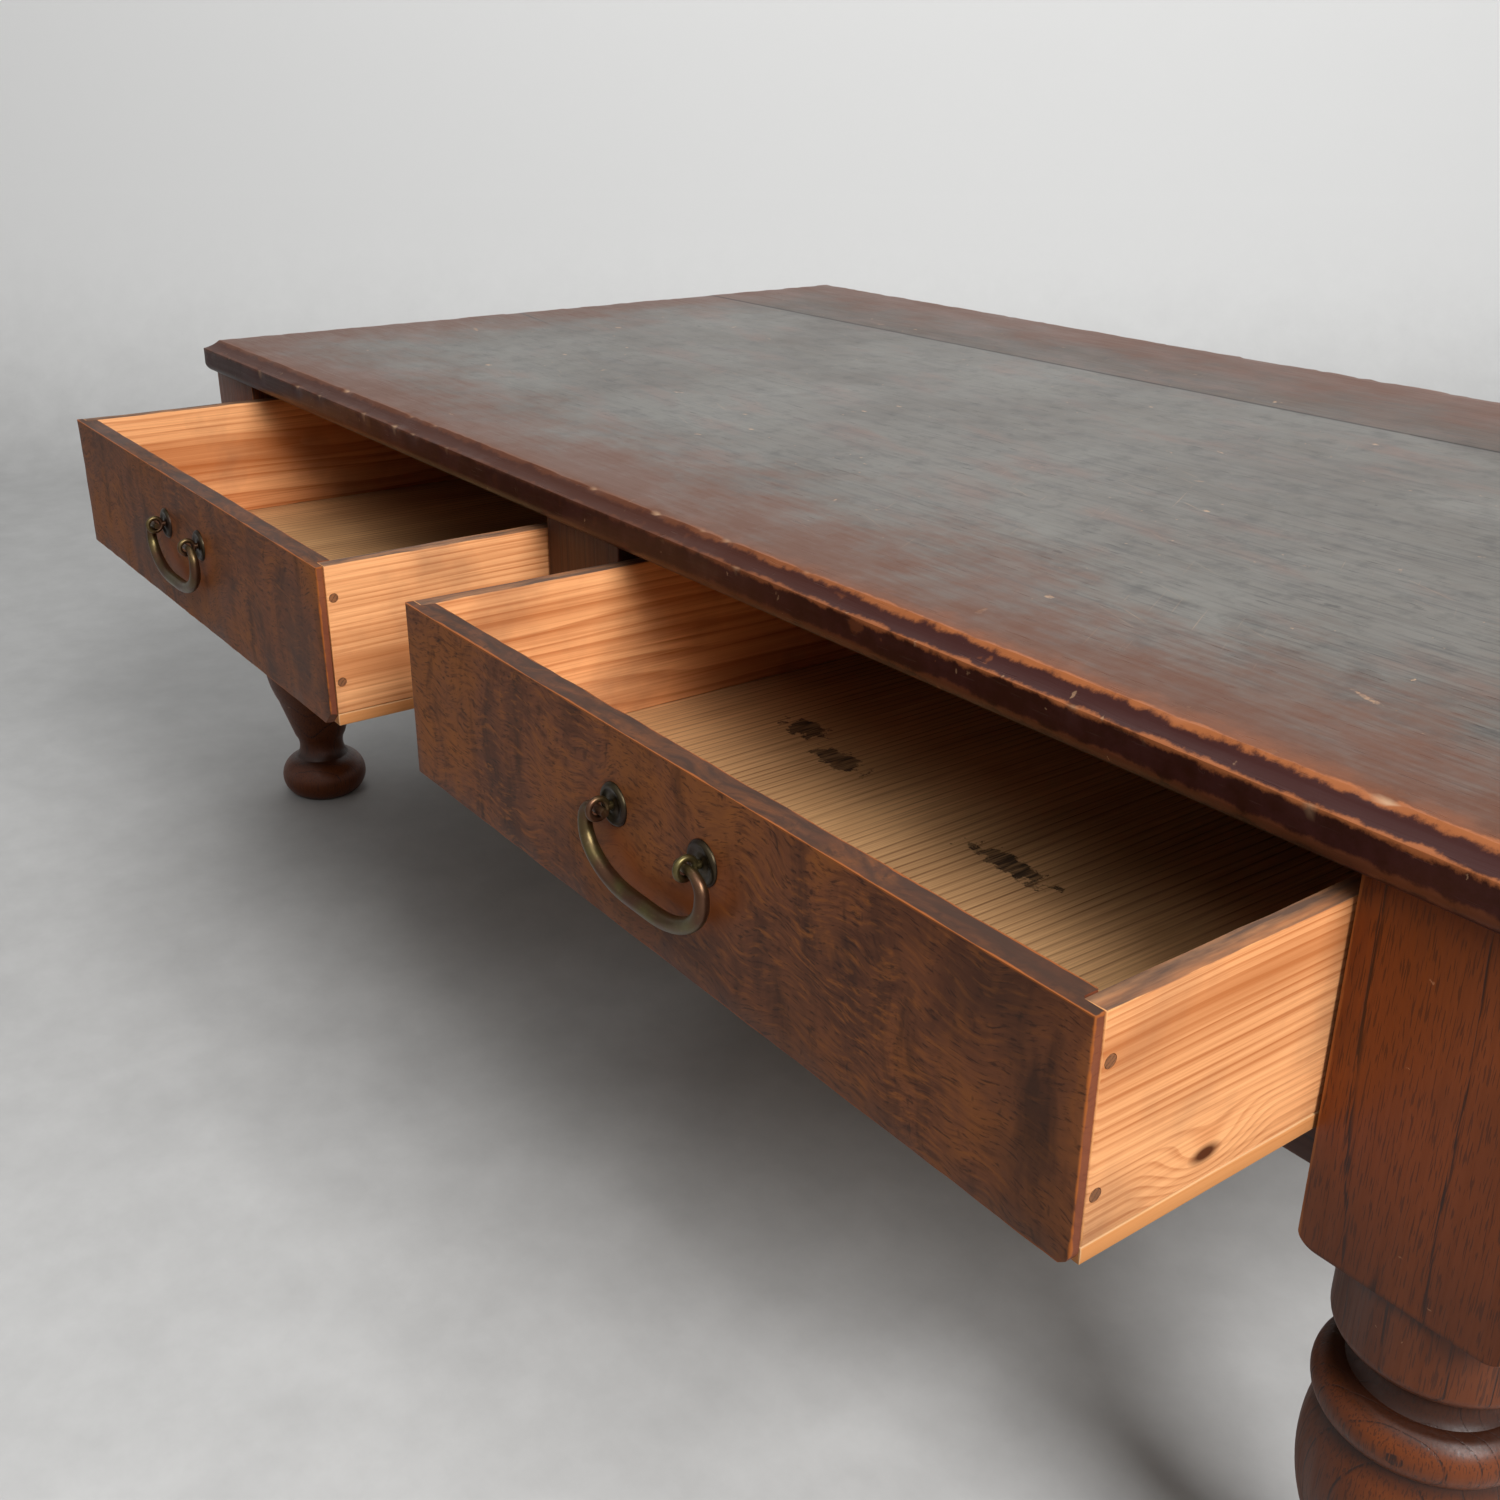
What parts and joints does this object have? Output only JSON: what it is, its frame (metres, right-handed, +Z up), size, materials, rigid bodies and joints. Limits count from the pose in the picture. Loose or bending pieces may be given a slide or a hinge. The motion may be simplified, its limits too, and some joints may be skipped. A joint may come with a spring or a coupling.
{
  "type": "low writing desk",
  "caption": "Low floor-sitting writing desk with a moulded top on turned legs and side-by-side drawers with bail pulls.",
  "frame": {"origin": "on the floor, in the middle of the desk's box with the drawers as the picture shows them", "axes": "+X along the desk to the right seen from the drawers, +Y from the drawers to the back, +Z up"},
  "size_m": [1.017, 0.692, 0.347],
  "materials": {
    "top_wood": "satin",
    "leg_wood": "satin",
    "hidden_wood": "matte",
    "front_wood": "satin",
    "drawer_wood": "matte",
    "bottom_wood": "matte",
    "peg_wood": "matte",
    "bronze": "satin"
  },
  "bodies": {
    "desk": {"top_front_board": "top_wood", "top_back_board": "top_wood", "top_tongue": "hidden_wood", "leg_front_left": "leg_wood", "leg_front_right": "leg_wood", "leg_back_left": "leg_wood", "leg_back_right": "leg_wood", "apron_back": "leg_wood", "apron_left": "leg_wood", "apron_right": "leg_wood", "front_rail": "leg_wood", "centre_stile": "leg_wood", "runner_left": "hidden_wood", "runner_right": "hidden_wood", "runner_centre": "hidden_wood", "guide_left": "hidden_wood", "guide_right": "hidden_wood", "guide_centre": "hidden_wood", "drawer_stops": "hidden_wood", "top_blocks": "hidden_wood"},
    "drawer_left": {"drawer_left_front": "front_wood", "drawer_left_left_side": "drawer_wood", "drawer_left_right_side": "drawer_wood", "drawer_left_back": "drawer_wood", "drawer_left_bottom": "bottom_wood", "drawer_left_pegs": "peg_wood", "drawer_left_eyes": "bronze", "drawer_left_rosettes": "bronze"},
    "bail_left": {"bail_left": "bronze"},
    "drawer_right": {"drawer_right_front": "front_wood", "drawer_right_left_side": "drawer_wood", "drawer_right_right_side": "drawer_wood", "drawer_right_back": "drawer_wood", "drawer_right_bottom": "bottom_wood", "drawer_right_pegs": "peg_wood", "drawer_right_eyes": "bronze", "drawer_right_rosettes": "bronze"},
    "bail_right": {"bail_right": "bronze"}
  },
  "joints": [
    {"name": "drawer_left_slide", "type": "slide", "parent": "desk", "child": "drawer_left", "axis": [0, -1, 0], "range_m": [-0.118, 0.2]},
    {"name": "bail_left_swing", "type": "hinge", "parent": "drawer_left", "child": "bail_left", "pos_m": [-0.234, -0.34185, 0.286], "axis": [-1, 0, 0], "range_deg": [-5, 175]},
    {"name": "drawer_right_slide", "type": "slide", "parent": "desk", "child": "drawer_right", "axis": [0, -1, 0], "range_m": [-0.106, 0.212]},
    {"name": "bail_right_swing", "type": "hinge", "parent": "drawer_right", "child": "bail_right", "pos_m": [0.234, -0.32985, 0.286], "axis": [-1, 0, 0], "range_deg": [-5, 175]}
  ]
}
